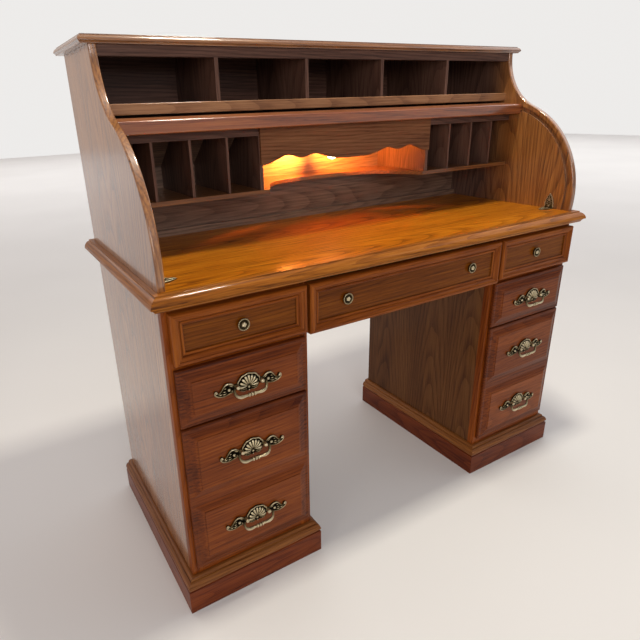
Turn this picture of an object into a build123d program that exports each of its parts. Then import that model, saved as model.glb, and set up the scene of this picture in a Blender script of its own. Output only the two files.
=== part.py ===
from build123d import *
import math
import os

# Roll top desk in millimetres: +X to the sitter's right, +Y to the back, +Z up.
# The origin is on the floor, in the middle of the desk's width and, within 5 mm, of its depth
# over the pulls.

os.makedirs("parts", exist_ok=True)

# ---- Overall size ---------------------------------------------------------------------
DESK_WIDTH = 1270.0
DESK_DEPTH = 559.0
DESK_HEIGHT = 762.0
OVERALL_HEIGHT = 1206.5
ORIGIN_SETBACK = 8.0
BACK_Y = DESK_DEPTH / 2 + ORIGIN_SETBACK
FRONT_Y = BACK_Y - DESK_DEPTH

# ---- Desktop --------------------------------------------------------------------------
DESKTOP_THICKNESS = 30.0
DESKTOP_BOTTOM = DESK_HEIGHT - DESKTOP_THICKNESS
EDGING = 24.0
PANEL_HALF = DESK_WIDTH / 2 - EDGING

# ---- Pedestals ------------------------------------------------------------------------
PEDESTAL_OUTER = 610.0
PEDESTAL_INNER = 294.0
PEDESTAL_FRONT = FRONT_Y + 30.0
PEDESTAL_BACK = BACK_Y - 32.5
BOARD = 18.0
FRAME_THICKNESS = 19.0
STILE = 28.0
STILE_ROUND = 2.5
THIN_PANEL = 6.0
PLINTH_HEIGHT = 88.0
PLINTH_THICKNESS = 19.0
PLINTH_BACK = PEDESTAL_BACK + 8.0
PLINTH_QUIRK = ((19, 59), (16.5, 60.5), (16.5, 62.5))
PLINTH_CAP = ((16.5, 62.5), (19, 68), (17.5, 73))
PLINTH_COVE = ((17.5, 73), (14.5, 78.5), (11, 80))
PLINTH_STEP = ((11, 80), (9.5, 80), (9.5, 82))
PLINTH_CROWN = ((9.5, 82), (7.5, 86.5), (4, 88))
FLOOR_GAP = 6.0
APRON_BOTTOM = 560.0

# ---- Drawers --------------------------------------------------------------------------
FRONT_THICKNESS = 17.5
SLIDE_GAP = 0.5
FRONT_BACK_Y = PEDESTAL_FRONT - SLIDE_GAP
FRONT_FACE_Y = FRONT_BACK_Y - FRONT_THICKNESS
SIDE_FRONT_X = (304.0, 600.0)
CENTRE_FRONT_HALF = 297.0
TOP_Z = (616.0, 722.0)
SECOND_Z = (474.0, 603.0)
DEEP_Z = (110.0, 470.0)
CENTRE_Z = (609.0, 722.0)
PICTURE_FRAME = 25.0
PICTURE_EDGE = ((0, 15.5), (1.8, 19.7), (6, 21.5))
PICTURE_FLAT = ((6, 21.5), (9, 21.5), (9, 20))
PICTURE_OGEE = ((9, 20), (14.5, 17.5), (18, 12.5))
PICTURE_BEAD = ((18, 12.5), (21.5, 14.5), (25, 10))
RECESSED_PANEL = 10.0
FIELD_SIDE_INSET = 9.0
FIELD_END_INSET = 9.0
FIELD_RISE = 7.5
FIELD_STEP = 1.8
FIELD_BEVEL = 71.0
RAISED_ROUND = 4.0
DEEP_MIDDLE_BAND = 23.0
BOX_WALL = 12.0
BOX_BOTTOM = 6.0
SIDE_BOX_X = (328.0, 576.0)
SIDE_BOX_LENGTH = 440.0
CENTRE_BOX_HALF = 270.0
CENTRE_BOX_LENGTH = 380.0
BOX_INSETS = {"top": (20.0, 18.0), "second": (20.0, 22.0), "deep": (24.0, 34.0), "centre": (26.0, 18.0)}
RAIL_LAP = 8.0
RUNNER_LAP = 10.0
RUNNER_HEIGHT = 18.0
RUN_CLEARANCE = 0.3

# ---- Hardware -------------------------------------------------------------------------
KNOB_X = 196.0
HARDWARE_X = (SIDE_FRONT_X[0] + SIDE_FRONT_X[1]) / 2
KNOB_PROFILE = (
    (0, 0), (9, 0), (9, 1.5), (7, 2.5), (7, 3.5), (12, 4.5), (13, 5.5), (13, 6.5), (12, 7.5), (10, 6),
    (6, 6), (4.5, 9), (0, 9),
)
PLATE_EDGE = (
    (0, -13), (12, -13), (22, -9), (31, -9), (40, -12), (48, -14), (56, -15.5), (64, -14.5), (71, -12),
    (76, -7.5), (77, -2.5), (75, 1), (71, 1), (69, -2), (68, -6), (64, -5), (60, 1), (55, 8), (50, 11.5),
    (44, 11.5), (38, 8), (33, 2.5), (29, 0.5), (26, 3), (25, 8), (21, 15), (14, 20), (7, 22.5), (0, 23),
)
PLATE_THICKNESS = 2.5
POST_X = 28.0
POST_RADIUS = 3.8
POST_LENGTH = 14.5
PIVOT_DEPTH = 11.0
PIN_RADIUS = 2.0
PIN_CLEARANCE = 0.06
PIN_REACH = 1.0
PIVOT_ABOVE = 3.0
BAIL_HALF = 35.5
BAIL_FOOT = 30.0
BAIL_DROP = 20.0
BAIL_LEAN = 5.5
BAIL_BEND = 2.5
GRIP_RADIUS = 3.5
GRIP_CORE = 2.9
GRIP_HALF = 24.0
RING_X = (-5.0, 0.0, 5.0)
RING_WIDTH = 3.0

# ---- Hutch ----------------------------------------------------------------------------
HUTCH_OUTER = 611.0
HUTCH_BOARD = 16.0
HUTCH_INNER = HUTCH_OUTER - HUTCH_BOARD
HUTCH_BACK = BACK_Y - 17.5
CROWN_BOTTOM = 1190.0
CROWN_HALF = 631.0
CROWN_FRONT = BACK_Y - 281.5
CROWN_BACK = BACK_Y - 3.5
BELLY_Y = 20.0
BELLY_Z = 800.0
BELLY_RADIUS = 264.0
NECK_LEAN = 22.4
HUTCH_EDGE_ROUND = 3.0
NECK_Y = 17.0
CUBBY_FRONT = 15.0
LIP_Z = (1060.0, 1082.0)
LIP_THICKNESS = 20.0
LIP_ROUND = 2.0
CUBBY_BOARD = 16.0
CUBBY_RAIL_BOTTOM = 1169.0
CUBBY_RAIL_INSET = 3.0
CUBBY_DIVIDERS = (-347.0, -115.0, 115.0, 347.0)
CUBBY_DIVIDER = 9.0
UNIT_FRONT = -6.0
UNIT_BACK = 198.0
SHELF_Z = (874.0, 884.0)
SHELF_FRONT = -12.0
UNIT_TOP = 1022.0
UNIT_TOP_BACK = 96.0
RAIL_THICKNESS = 8.0
SLOPE_FOOT = 937.0
SLOPE_MITRE = 3.0
SLOT_TOP = 1005.5
TOP_BOARD = 6.0
BAY_HALF = 258.0
END_PANEL = 9.0
SLOT_DIVIDER = 6.0
SLOT_DIVIDERS = (347.0, 434.0, 519.0)
SCOOP = ((-211, 50), (-171, 99), (-109, 123), (0, 133), (109, 123), (171, 99), (211, 50))
SCOOP_HALF = 246.0
VALANCE_HALF = 265.0
VALANCE_THICKNESS = 6.0
VALANCE_MIDDLE = 940.5
VALANCE_END = 941.0
VALANCE_CURVE = ((54, 942.5), (91, 951), (120, 957), (154, 949.5), (189, 958.5), (226, 948))
CLEAT_THICKNESS = 12.0
CLEAT_HEIGHT = 17.0
CLEAT_ROUND = 3.0
BRACKET_Y = (-193.0, -165.0)
BRACKET_LEG = 44.0
BRACKET_PLATE = 2.0
LAMP_Y = 80.0
HOLDER_RADIUS = 15.0
HOLDER_BOTTOM = 972.0
HOLDER_ROUND = 2.0
BULB_RADIUS = 15.0
BULB_NECK = 9.0
BULB_SHOULDER = (10.5, 964.0)
BULB_BOTTOM = 930.0
CROWN_EDGE = 14.0
CROWN_THICKNESS = OVERALL_HEIGHT - CROWN_BOTTOM

# ---- Tambour --------------------------------------------------------------------------
TRACK_Y = 16.0
TRACK_Z = 804.0
SLAT_INNER = 237.0
SLAT_OUTER = 245.0
GROOVE_CLEARANCE = 1.5
GROOVE_DEPTH = 6.0
GROOVE_END_Z = 815.0
TENON_END = HUTCH_INNER + GROOVE_DEPTH - 1.0
RAIL_INNER = 226.0
RAIL_OUTER = 253.0
RAIL_ARC = 8.0
RAIL_ROUND = 4.0
RAIL_END_GAP = 1.0
SLAT_ROUND = 3.0
OPEN_LEAD = 105.0
SLAT_PITCH = 4.6
SLAT_COUNT = 20
SLAT_GAP = 0.2
DESK_CLEARANCE = 1.0
CANVAS_THICKNESS = 1.0
CANVAS_HALF = 560.0
CLOSED_LEAD = 180.0 + math.degrees(math.asin((TRACK_Z - DESK_HEIGHT - DESK_CLEARANCE) / SLAT_INNER))
TRAVEL = CLOSED_LEAD - OPEN_LEAD


def board(x, y, z):
    """Adds a board between two x, two y and two z."""
    with Locations(((x[0] + x[1]) / 2, (y[0] + y[1]) / 2, (z[0] + z[1]) / 2)):
        Box(x[1] - x[0], y[1] - y[0], z[1] - z[0])


def mirrored(pair):
    """The same span of x on the other side of the desk."""
    return (-pair[1], -pair[0])


def save(piece, name):
    """Labels a finished piece and writes it."""
    piece.part.label = name
    export_step(piece.part, f"parts/{name}.step")


# ---- Desktop --------------------------------------------------------------------------
PANEL_FRONT = FRONT_Y + EDGING
with BuildPart() as desktop_panel:
    board((-PANEL_HALF, PANEL_HALF), (PANEL_FRONT, BACK_Y), (DESKTOP_BOTTOM, DESK_HEIGHT))
save(desktop_panel, "desktop_panel")


def thumbnail_outline(width, height):
    """An edge moulding: a cove below, a rounded nose, and a small step at the top."""
    cove = height * 0.3
    step = height * 0.1
    with BuildLine() as outline:
        Polyline((0, height), (0, 0), (width - cove, 0))
        nose = ThreePointArc((width - cove, 0), (width - cove * 0.62, cove * 0.62), (width, cove))
        brow = TangentArc(nose @ 1, (width * 0.45, height - step), tangent=(0, 1))
        Polyline(brow @ 1, (width * 0.45, height), (0, height))
    make_face(outline.edges())


def edge_moulding(half, front, back, bottom, width, height):
    """A mitred moulding round the left, front and right edges of a board."""
    with BuildPart() as moulding:
        with BuildLine():
            Polyline(
                (-half, back, bottom), (-half, front, bottom),
                (half, front, bottom), (half, back, bottom),
            )
        with BuildSketch(Plane((-half, back, bottom), x_dir=(-1, 0, 0), z_dir=(0, 1, 0))):
            thumbnail_outline(width, height)
        sweep(transition=Transition.RIGHT)
    return moulding


desktop_edging = edge_moulding(
    PANEL_HALF, PANEL_FRONT, BACK_Y, DESKTOP_BOTTOM, EDGING, DESKTOP_THICKNESS)
save(desktop_edging, "desktop_edging")


# ---- Pedestals ------------------------------------------------------------------------
CARCASS_FRONT = PEDESTAL_FRONT + FRAME_THICKNESS
BOTTOM_Z = (PLINTH_HEIGHT - BOARD, PLINTH_HEIGHT)


def pedestal_board(x, label):
    """One upright side board of a pedestal."""
    with BuildPart() as side:
        board(x, (CARCASS_FRONT, PEDESTAL_BACK), (FLOOR_GAP, DESKTOP_BOTTOM))
    save(side, label)


def face_frame(x, label):
    """Two stiles and the rails between the drawers."""
    rails = (
        (PLINTH_HEIGHT, DEEP_Z[0] + RAIL_LAP),
        (DEEP_Z[1] - RAIL_LAP, SECOND_Z[0] + RAIL_LAP),
        (SECOND_Z[1] - RAIL_LAP, TOP_Z[0] + RAIL_LAP),
        (TOP_Z[1] - RAIL_LAP, DESKTOP_BOTTOM),
    )
    y = (PEDESTAL_FRONT, CARCASS_FRONT)
    with BuildPart() as frame:
        board((x[0], x[0] + STILE), y, (FLOOR_GAP, DESKTOP_BOTTOM))
        board((x[1] - STILE, x[1]), y, (FLOOR_GAP, DESKTOP_BOTTOM))
        for rail in rails:
            board((x[0] + STILE, x[1] - STILE), y, rail)
        front_edges = frame.edges().filter_by(Axis.Z).filter_by_position(Axis.Y, y[0], y[0])
        corners = front_edges.filter_by(lambda edge: abs(edge.center().X) in (PEDESTAL_INNER, PEDESTAL_OUTER))
        fillet(corners, STILE_ROUND)
    save(frame, label)


OUTER_BOARD_X = (PEDESTAL_OUTER - BOARD, PEDESTAL_OUTER)
INNER_BOARD_X = (PEDESTAL_INNER, PEDESTAL_INNER + BOARD)
PEDESTAL_X = (PEDESTAL_INNER, PEDESTAL_OUTER)
pedestal_board(OUTER_BOARD_X, "right_outer_side")
pedestal_board(INNER_BOARD_X, "right_inner_side")
pedestal_board(mirrored(OUTER_BOARD_X), "left_outer_side")
pedestal_board(mirrored(INNER_BOARD_X), "left_inner_side")
face_frame(PEDESTAL_X, "right_face_frame")
face_frame(mirrored(PEDESTAL_X), "left_face_frame")

INSIDE_X = (INNER_BOARD_X[1], OUTER_BOARD_X[0])
with BuildPart() as pedestal_backs:
    for span in (INSIDE_X, mirrored(INSIDE_X)):
        board(span, (PEDESTAL_BACK - THIN_PANEL, PEDESTAL_BACK), (PLINTH_HEIGHT, DESKTOP_BOTTOM))
save(pedestal_backs, "pedestal_backs")

with BuildPart() as pedestal_bottoms:
    for span in (INSIDE_X, mirrored(INSIDE_X)):
        board(span, (CARCASS_FRONT, PEDESTAL_BACK), BOTTOM_Z)
save(pedestal_bottoms, "pedestal_bottoms")


def plinth_outline():
    """A flat board, a narrow quirk, and a stepped, rounded cap."""
    with BuildLine() as outline:
        Polyline((0, PLINTH_HEIGHT), (0, 0), (PLINTH_THICKNESS, 0), *PLINTH_QUIRK)
        ThreePointArc(*PLINTH_CAP)
        ThreePointArc(*PLINTH_COVE)
        Polyline(*PLINTH_STEP)
        ThreePointArc(*PLINTH_CROWN)
        Line(PLINTH_CROWN[-1], (0, PLINTH_HEIGHT))
    make_face(outline.edges())


def plinth(x, label):
    """The moulded skirt round three sides of a pedestal, closed by a plain board behind."""
    with BuildPart() as skirt:
        with BuildLine():
            Polyline(
                (x[0], PLINTH_BACK), (x[0], PEDESTAL_FRONT),
                (x[1], PEDESTAL_FRONT), (x[1], PLINTH_BACK),
            )
        with BuildSketch(Plane((x[0], PLINTH_BACK, 0), x_dir=(-1, 0, 0), z_dir=(0, 1, 0))):
            plinth_outline()
        sweep(transition=Transition.RIGHT)
        board(x, (PEDESTAL_BACK, PLINTH_BACK), (0, PLINTH_HEIGHT))
    save(skirt, label)


plinth(PEDESTAL_X, "right_plinth")
plinth(mirrored(PEDESTAL_X), "left_plinth")

with BuildPart() as rear_apron:
    apron_y = (PEDESTAL_BACK - BOARD, PEDESTAL_BACK)
    board((-PEDESTAL_INNER, PEDESTAL_INNER), apron_y, (APRON_BOTTOM, DESKTOP_BOTTOM))
save(rear_apron, "rear_apron")


# ---- Drawers --------------------------------------------------------------------------
def picture_outline():
    """A frame moulding: rounded outer edge, flat top, long ogee, and an inner bead."""
    with BuildLine() as outline:
        Polyline((PICTURE_FRAME, RECESSED_PANEL), (PICTURE_FRAME, 0), (0, 0), PICTURE_EDGE[0])
        ThreePointArc(*PICTURE_EDGE)
        Polyline(*PICTURE_FLAT)
        ThreePointArc(*PICTURE_OGEE)
        ThreePointArc(*PICTURE_BEAD)
    make_face(outline.edges())


def framed_front(x, z, label):
    """A drawer front with a mitred picture frame round a recessed panel."""
    with BuildPart() as front:
        with BuildLine():
            Polyline(
                (x[0], FRONT_BACK_Y, z[0]), (x[1], FRONT_BACK_Y, z[0]),
                (x[1], FRONT_BACK_Y, z[1]), (x[0], FRONT_BACK_Y, z[1]), close=True,
            )
        with BuildSketch(Plane((x[0], FRONT_BACK_Y, z[0]), x_dir=(0, 0, 1), z_dir=(1, 0, 0))):
            picture_outline()
        sweep(transition=Transition.RIGHT)
        inner_x = (x[0] + PICTURE_FRAME, x[1] - PICTURE_FRAME)
        inner_z = (z[0] + PICTURE_FRAME, z[1] - PICTURE_FRAME)
        board(inner_x, (FRONT_BACK_Y - RECESSED_PANEL, FRONT_BACK_Y), inner_z)
    save(front, label)


def raised_front(x, z, fields, label):
    """A drawer front with one or more bevelled, raised fields."""
    border_y = FRONT_FACE_Y + FIELD_RISE
    with BuildPart() as front:
        board(x, (border_y, FRONT_BACK_Y), z)
        fillet(front.faces().sort_by(Axis.Y)[0].edges(), RAISED_ROUND)
        for field in fields:
            with BuildSketch(Plane.XZ.offset(-border_y)):
                with Locations(((x[0] + x[1]) / 2, (field[0] + field[1]) / 2)):
                    Rectangle(x[1] - x[0] - 2 * FIELD_SIDE_INSET, field[1] - field[0])
            extrude(amount=FIELD_RISE - FIELD_STEP, taper=FIELD_BEVEL)
        for face in front.faces().filter_by(Axis.Y).sort_by(Axis.Y)[:len(fields)]:
            extrude(offset(face, -FIELD_STEP, mode=Mode.PRIVATE), amount=FIELD_STEP)
    save(front, label)


def drawer_box(x, z, length, label):
    """Two sides, a back, a sub-front and a bottom let in between them."""
    y = (FRONT_BACK_Y, FRONT_BACK_Y + length)
    inner = (x[0] + BOX_WALL, x[1] - BOX_WALL)
    with BuildPart() as box:
        board((x[0], inner[0]), y, z)
        board((inner[1], x[1]), y, z)
        board(inner, (y[0], y[0] + BOX_WALL), z)
        board(inner, (y[1] - BOX_WALL, y[1]), z)
        board(inner, (y[0] + BOX_WALL, y[1] - BOX_WALL), (z[0] + BOX_BOTTOM, z[0] + 2 * BOX_BOTTOM))
    save(box, label)


def box_height(row, front):
    """The two z of a drawer box, inside the z of its front."""
    below, above = BOX_INSETS[row]
    return (front[0] + below, front[1] - above)


SIDE_BOXES = {
    "top": box_height("top", TOP_Z),
    "second": box_height("second", SECOND_Z),
    "deep": box_height("deep", DEEP_Z),
}
CENTRE_BOX_Z = box_height("centre", CENTRE_Z)
FIELD_SECOND = ((SECOND_Z[0] + FIELD_END_INSET, SECOND_Z[1] - FIELD_END_INSET),)
DEEP_MIDDLE = (DEEP_Z[0] + DEEP_Z[1]) / 2
FIELDS_DEEP = (
    (DEEP_Z[0] + FIELD_END_INSET, DEEP_MIDDLE - DEEP_MIDDLE_BAND / 2),
    (DEEP_MIDDLE + DEEP_MIDDLE_BAND / 2, DEEP_Z[1] - FIELD_END_INSET),
)
for hand in ("right", "left"):
    place = mirrored if hand == "left" else tuple
    framed_front(place(SIDE_FRONT_X), TOP_Z, f"{hand}_top_drawer_front")
    raised_front(place(SIDE_FRONT_X), SECOND_Z, FIELD_SECOND, f"{hand}_second_drawer_front")
    raised_front(place(SIDE_FRONT_X), DEEP_Z, FIELDS_DEEP, f"{hand}_deep_drawer_front")
    for row, box_z in SIDE_BOXES.items():
        drawer_box(place(SIDE_BOX_X), box_z, SIDE_BOX_LENGTH, f"{hand}_{row}_drawer_box")
framed_front((-CENTRE_FRONT_HALF, CENTRE_FRONT_HALF), CENTRE_Z, "centre_drawer_front")
drawer_box((-CENTRE_BOX_HALF, CENTRE_BOX_HALF), CENTRE_BOX_Z, CENTRE_BOX_LENGTH, "centre_drawer_box")

with BuildPart() as drawer_runners:
    y = (CARCASS_FRONT, PEDESTAL_BACK - THIN_PANEL)
    for box_z in SIDE_BOXES.values():
        top = box_z[0] - RUN_CLEARANCE
        for span in (
            (INSIDE_X[0], SIDE_BOX_X[0] + RUNNER_LAP),
            (SIDE_BOX_X[1] - RUNNER_LAP, INSIDE_X[1]),
        ):
            board(span, y, (top - RUNNER_HEIGHT, top))
            board(mirrored(span), y, (top - RUNNER_HEIGHT, top))
    top = CENTRE_BOX_Z[0] - RUN_CLEARANCE
    span = (CENTRE_BOX_HALF - RUNNER_LAP, PEDESTAL_INNER)
    for side in (span, mirrored(span)):
        board(side, (PEDESTAL_FRONT, PEDESTAL_BACK - BOARD), (top - RUNNER_HEIGHT, top))
save(drawer_runners, "drawer_runners")


# ---- Knobs and pulls ------------------------------------------------------------------
def knob_at(x, z, seat_y):
    """A low, turned, dished knob with a button in its middle, standing out towards -Y."""
    with BuildSketch(Plane((x, seat_y, z), x_dir=(1, 0, 0), z_dir=(0, 0, 1))) as section:
        with BuildLine() as outline:
            Polyline(*[(radius, -height) for radius, height in KNOB_PROFILE], close=True)
        make_face(outline.edges())
    revolve(section.sketch, axis=Axis((x, seat_y, z), (0, 1, 0)))


RECESS_Y = FRONT_BACK_Y - RECESSED_PANEL
for hand, sign in (("right", 1), ("left", -1)):
    with BuildPart() as knob:
        knob_at(sign * HARDWARE_X, (TOP_Z[0] + TOP_Z[1]) / 2, RECESS_Y)
    save(knob, f"{hand}_knob")
with BuildPart() as centre_knobs:
    for sign in (-1, 1):
        knob_at(sign * KNOB_X, (TOP_Z[0] + TOP_Z[1]) / 2, RECESS_Y)
save(centre_knobs, "centre_knobs")


PIVOT_Y = FRONT_FACE_Y - PIVOT_DEPTH
GRIP_Y = PIVOT_Y - BAIL_LEAN


def pull_plate(x, pivot_z):
    """A shell-shaped backplate with two posts, bored across for the bail's pins."""
    outline = [(x + u, pivot_z + v) for u, v in PLATE_EDGE]
    outline += [(x - u, pivot_z + v) for u, v in PLATE_EDGE[-2:0:-1]]
    with BuildSketch(Plane.XZ.offset(-FRONT_FACE_Y)) as shell:
        with BuildLine():
            Polyline(*outline, close=True)
        make_face()
    extrude(shell.sketch, amount=PLATE_THICKNESS)
    with BuildSketch(Plane.XZ.offset(-FRONT_FACE_Y)) as posts:
        with Locations((x - POST_X, pivot_z), (x + POST_X, pivot_z)):
            Circle(POST_RADIUS)
    extrude(posts.sketch, amount=POST_LENGTH)
    with Locations((x, PIVOT_Y, pivot_z)):
        Cylinder(
            PIN_RADIUS + PIN_CLEARANCE, 2 * (POST_X + POST_RADIUS) + 2,
            rotation=(0, 90, 0), mode=Mode.SUBTRACT,
        )


def pull_bail(x, pivot_z, label):
    """A bent rod whose ends turn in the posts, with a thicker ringed grip."""
    inner = POST_X - POST_RADIUS + PIN_REACH
    grip_z = pivot_z - BAIL_DROP
    with BuildPart() as bail:
        with BuildLine() as rod:
            FilletPolyline(
                (x - inner, PIVOT_Y, pivot_z), (x - BAIL_HALF, PIVOT_Y, pivot_z),
                (x - BAIL_FOOT, GRIP_Y, grip_z), (x + BAIL_FOOT, GRIP_Y, grip_z),
                (x + BAIL_HALF, PIVOT_Y, pivot_z), (x + inner, PIVOT_Y, pivot_z),
                radius=BAIL_BEND,
            )
        with BuildSketch(Plane((x - inner, PIVOT_Y, pivot_z), x_dir=(0, 1, 0), z_dir=(-1, 0, 0))):
            Circle(PIN_RADIUS)
        sweep(path=rod.wires()[0])
        with Locations((x, GRIP_Y, grip_z)):
            Cylinder(GRIP_CORE, 2 * GRIP_HALF, rotation=(0, 90, 0))
        with Locations(*[(x + ring, GRIP_Y, grip_z) for ring in RING_X]):
            Cylinder(GRIP_RADIUS, RING_WIDTH, rotation=(0, 90, 0))
    save(bail, label)


SECOND_PIVOT = sum(FIELD_SECOND[0]) / 2 + PIVOT_ABOVE
DEEP_PIVOTS = {
    "lower": sum(FIELDS_DEEP[0]) / 2 + PIVOT_ABOVE,
    "upper": sum(FIELDS_DEEP[1]) / 2 + PIVOT_ABOVE,
}
for hand, sign in (("right", 1), ("left", -1)):
    centre = sign * HARDWARE_X
    with BuildPart() as plate:
        pull_plate(centre, SECOND_PIVOT)
    save(plate, f"{hand}_second_pull_plate")
    pull_bail(centre, SECOND_PIVOT, f"{hand}_second_bail")
    with BuildPart() as plates:
        for pivot in DEEP_PIVOTS.values():
            pull_plate(centre, pivot)
    save(plates, f"{hand}_deep_pull_plates")
    for level, pivot in DEEP_PIVOTS.items():
        pull_bail(centre, pivot, f"{hand}_deep_{level}_bail")


# ---- Hutch case -----------------------------------------------------------------------
def hutch_outline():
    """The S-shaped side: a belly concentric with the curtain, then a hollow neck."""
    lean = math.radians(NECK_LEAN)
    neck_radius = (BELLY_RADIUS * math.sin(lean) - (BELLY_Y - NECK_Y)) / (1 - math.sin(lean))
    neck_centre = (NECK_Y - neck_radius, BELLY_Z + (BELLY_RADIUS + neck_radius) * math.cos(lean))
    drop = math.degrees(math.asin((BELLY_Z - DESK_HEIGHT) / BELLY_RADIUS))
    with BuildLine() as outline:
        belly = CenterArc((BELLY_Y, BELLY_Z), BELLY_RADIUS, 90 + NECK_LEAN, 90 - NECK_LEAN + drop)
        CenterArc(neck_centre, neck_radius, NECK_LEAN - 90, 90 - NECK_LEAN)
        Polyline(
            (NECK_Y, neck_centre[1]), (NECK_Y, CROWN_BOTTOM), (HUTCH_BACK, CROWN_BOTTOM),
            (HUTCH_BACK, DESK_HEIGHT), belly @ 1,
        )
    make_face(outline.edges())


def hutch_side(inner_x, away, label):
    """A side board with the tambour groove cut in its inner face."""
    with BuildPart() as side:
        with BuildSketch(Plane.YZ.offset(inner_x)):
            hutch_outline()
        extrude(amount=away * HUTCH_BOARD)
        with BuildSketch(Plane.YZ.offset(inner_x)):
            with Locations((TRACK_Y, TRACK_Z)):
                Circle(SLAT_OUTER + GROOVE_CLEARANCE)
                Circle(SLAT_INNER - GROOVE_CLEARANCE, mode=Mode.SUBTRACT)
            with Locations((TRACK_Y, DESK_HEIGHT)):
                Rectangle(4 * BELLY_RADIUS, BELLY_RADIUS, align=(Align.CENTER, Align.MAX), mode=Mode.SUBTRACT)
            with Locations((TRACK_Y, GROOVE_END_Z)):
                Rectangle(2 * BELLY_RADIUS, BELLY_RADIUS, align=(Align.MIN, Align.MAX), mode=Mode.SUBTRACT)
        extrude(amount=away * GROOVE_DEPTH, mode=Mode.SUBTRACT)
        rounded = side.edges().filter_by(GeomType.CIRCLE).filter_by(
            lambda edge: edge.radius > BELLY_RADIUS - 1 or edge.radius < SLAT_INNER - 10)
        fillet(rounded, HUTCH_EDGE_ROUND)
    save(side, label)


hutch_side(HUTCH_INNER, 1, "hutch_right_side")
hutch_side(-HUTCH_INNER, -1, "hutch_left_side")

crown_inner = CROWN_HALF - CROWN_EDGE
crown_edging = edge_moulding(
    crown_inner, CROWN_FRONT + CROWN_EDGE, CROWN_BACK, CROWN_BOTTOM, CROWN_EDGE, CROWN_THICKNESS)
with BuildPart() as hutch_top:
    add(crown_edging.part)
    board((-crown_inner, crown_inner), (CROWN_FRONT + CROWN_EDGE, CROWN_BACK), (CROWN_BOTTOM, OVERALL_HEIGHT))
save(hutch_top, "hutch_top")

INSIDE = (-HUTCH_INNER, HUTCH_INNER)
with BuildPart() as hutch_back:
    board(INSIDE, (HUTCH_BACK - THIN_PANEL, HUTCH_BACK), (DESK_HEIGHT, CROWN_BOTTOM))
save(hutch_back, "hutch_back")

CUBBY_BACK = HUTCH_BACK - THIN_PANEL
CUBBY_RAIL_Y = NECK_Y + CUBBY_RAIL_INSET
with BuildPart() as cubby_shelf:
    board(INSIDE, (CUBBY_FRONT, CUBBY_FRONT + LIP_THICKNESS), LIP_Z)
    fillet(cubby_shelf.edges().filter_by(Axis.X).sort_by(Axis.Y)[:2], LIP_ROUND)
    board(INSIDE, (CUBBY_FRONT + LIP_THICKNESS, CUBBY_BACK), (LIP_Z[1] - CUBBY_BOARD, LIP_Z[1]))
save(cubby_shelf, "cubby_shelf")

with BuildPart() as cubby_rail:
    board(INSIDE, (CUBBY_RAIL_Y, CUBBY_RAIL_Y + BOARD), (CUBBY_RAIL_BOTTOM, CROWN_BOTTOM))
save(cubby_rail, "cubby_rail")

with BuildPart() as cubby_dividers:
    for x in CUBBY_DIVIDERS:
        span = (x - CUBBY_DIVIDER / 2, x + CUBBY_DIVIDER / 2)
        board(span, (CUBBY_RAIL_Y, CUBBY_BACK), (LIP_Z[1], CUBBY_RAIL_BOTTOM))
        board(span, (CUBBY_RAIL_Y + BOARD, CUBBY_BACK), (CUBBY_RAIL_BOTTOM, CROWN_BOTTOM))
save(cubby_dividers, "cubby_dividers")


# ---- Pigeonhole unit ------------------------------------------------------------------
with BuildPart() as pigeonhole_shelf:
    with BuildSketch(Plane.XY.offset(SHELF_Z[0])):
        with BuildLine():
            right = (SCOOP_HALF, SHELF_FRONT)
            left = (-SCOOP_HALF, SHELF_FRONT)
            Spline(left, *SCOOP, right)
            Polyline(
                right, (HUTCH_INNER, SHELF_FRONT), (HUTCH_INNER, UNIT_BACK),
                (-HUTCH_INNER, UNIT_BACK), (-HUTCH_INNER, SHELF_FRONT), left,
            )
        make_face()
    extrude(amount=SHELF_Z[1] - SHELF_Z[0])
save(pigeonhole_shelf, "pigeonhole_shelf")

RAIL_BACK = UNIT_FRONT + RAIL_THICKNESS
with BuildPart() as pigeonhole_top:
    board(INSIDE, (UNIT_FRONT, RAIL_BACK), (SLOT_TOP, UNIT_TOP))
    board(INSIDE, (RAIL_BACK, UNIT_TOP_BACK), (UNIT_TOP - TOP_BOARD, UNIT_TOP))
save(pigeonhole_top, "pigeonhole_top")


def slot_wall(x):
    """A thin upright whose back corner slopes to clear the curtain."""
    with BuildSketch(Plane.YZ.offset(x[0])) as wall:
        with BuildLine():
            Polyline(
                (UNIT_FRONT, SHELF_Z[1]), (UNIT_FRONT, SLOT_TOP), (RAIL_BACK, SLOT_TOP),
                (RAIL_BACK, UNIT_TOP - TOP_BOARD), (UNIT_TOP_BACK, UNIT_TOP - TOP_BOARD),
                (UNIT_BACK, SLOPE_FOOT), (UNIT_BACK, SHELF_Z[1]), close=True,
            )
        make_face()
    extrude(wall.sketch, amount=x[1] - x[0])


with BuildPart() as pigeonhole_dividers:
    for x in SLOT_DIVIDERS:
        slot_wall((x - SLOT_DIVIDER / 2, x + SLOT_DIVIDER / 2))
        slot_wall((-x - SLOT_DIVIDER / 2, -x + SLOT_DIVIDER / 2))
    slot_wall((BAY_HALF, BAY_HALF + END_PANEL))
    slot_wall((-BAY_HALF - END_PANEL, -BAY_HALF))
save(pigeonhole_dividers, "pigeonhole_dividers")

with BuildPart() as valance:
    with BuildSketch(Plane.XZ.offset(-UNIT_FRONT)):
        with BuildLine():
            end = (VALANCE_HALF, VALANCE_END)
            mirror_curve = [(-u, v) for u, v in reversed(VALANCE_CURVE)]
            Spline((-VALANCE_HALF, VALANCE_END), *mirror_curve, (0, VALANCE_MIDDLE), *VALANCE_CURVE, end)
            Polyline(end, (VALANCE_HALF, UNIT_TOP), (-VALANCE_HALF, UNIT_TOP), (-VALANCE_HALF, VALANCE_END))
        make_face()
    extrude(amount=VALANCE_THICKNESS)
save(valance, "valance")

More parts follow.
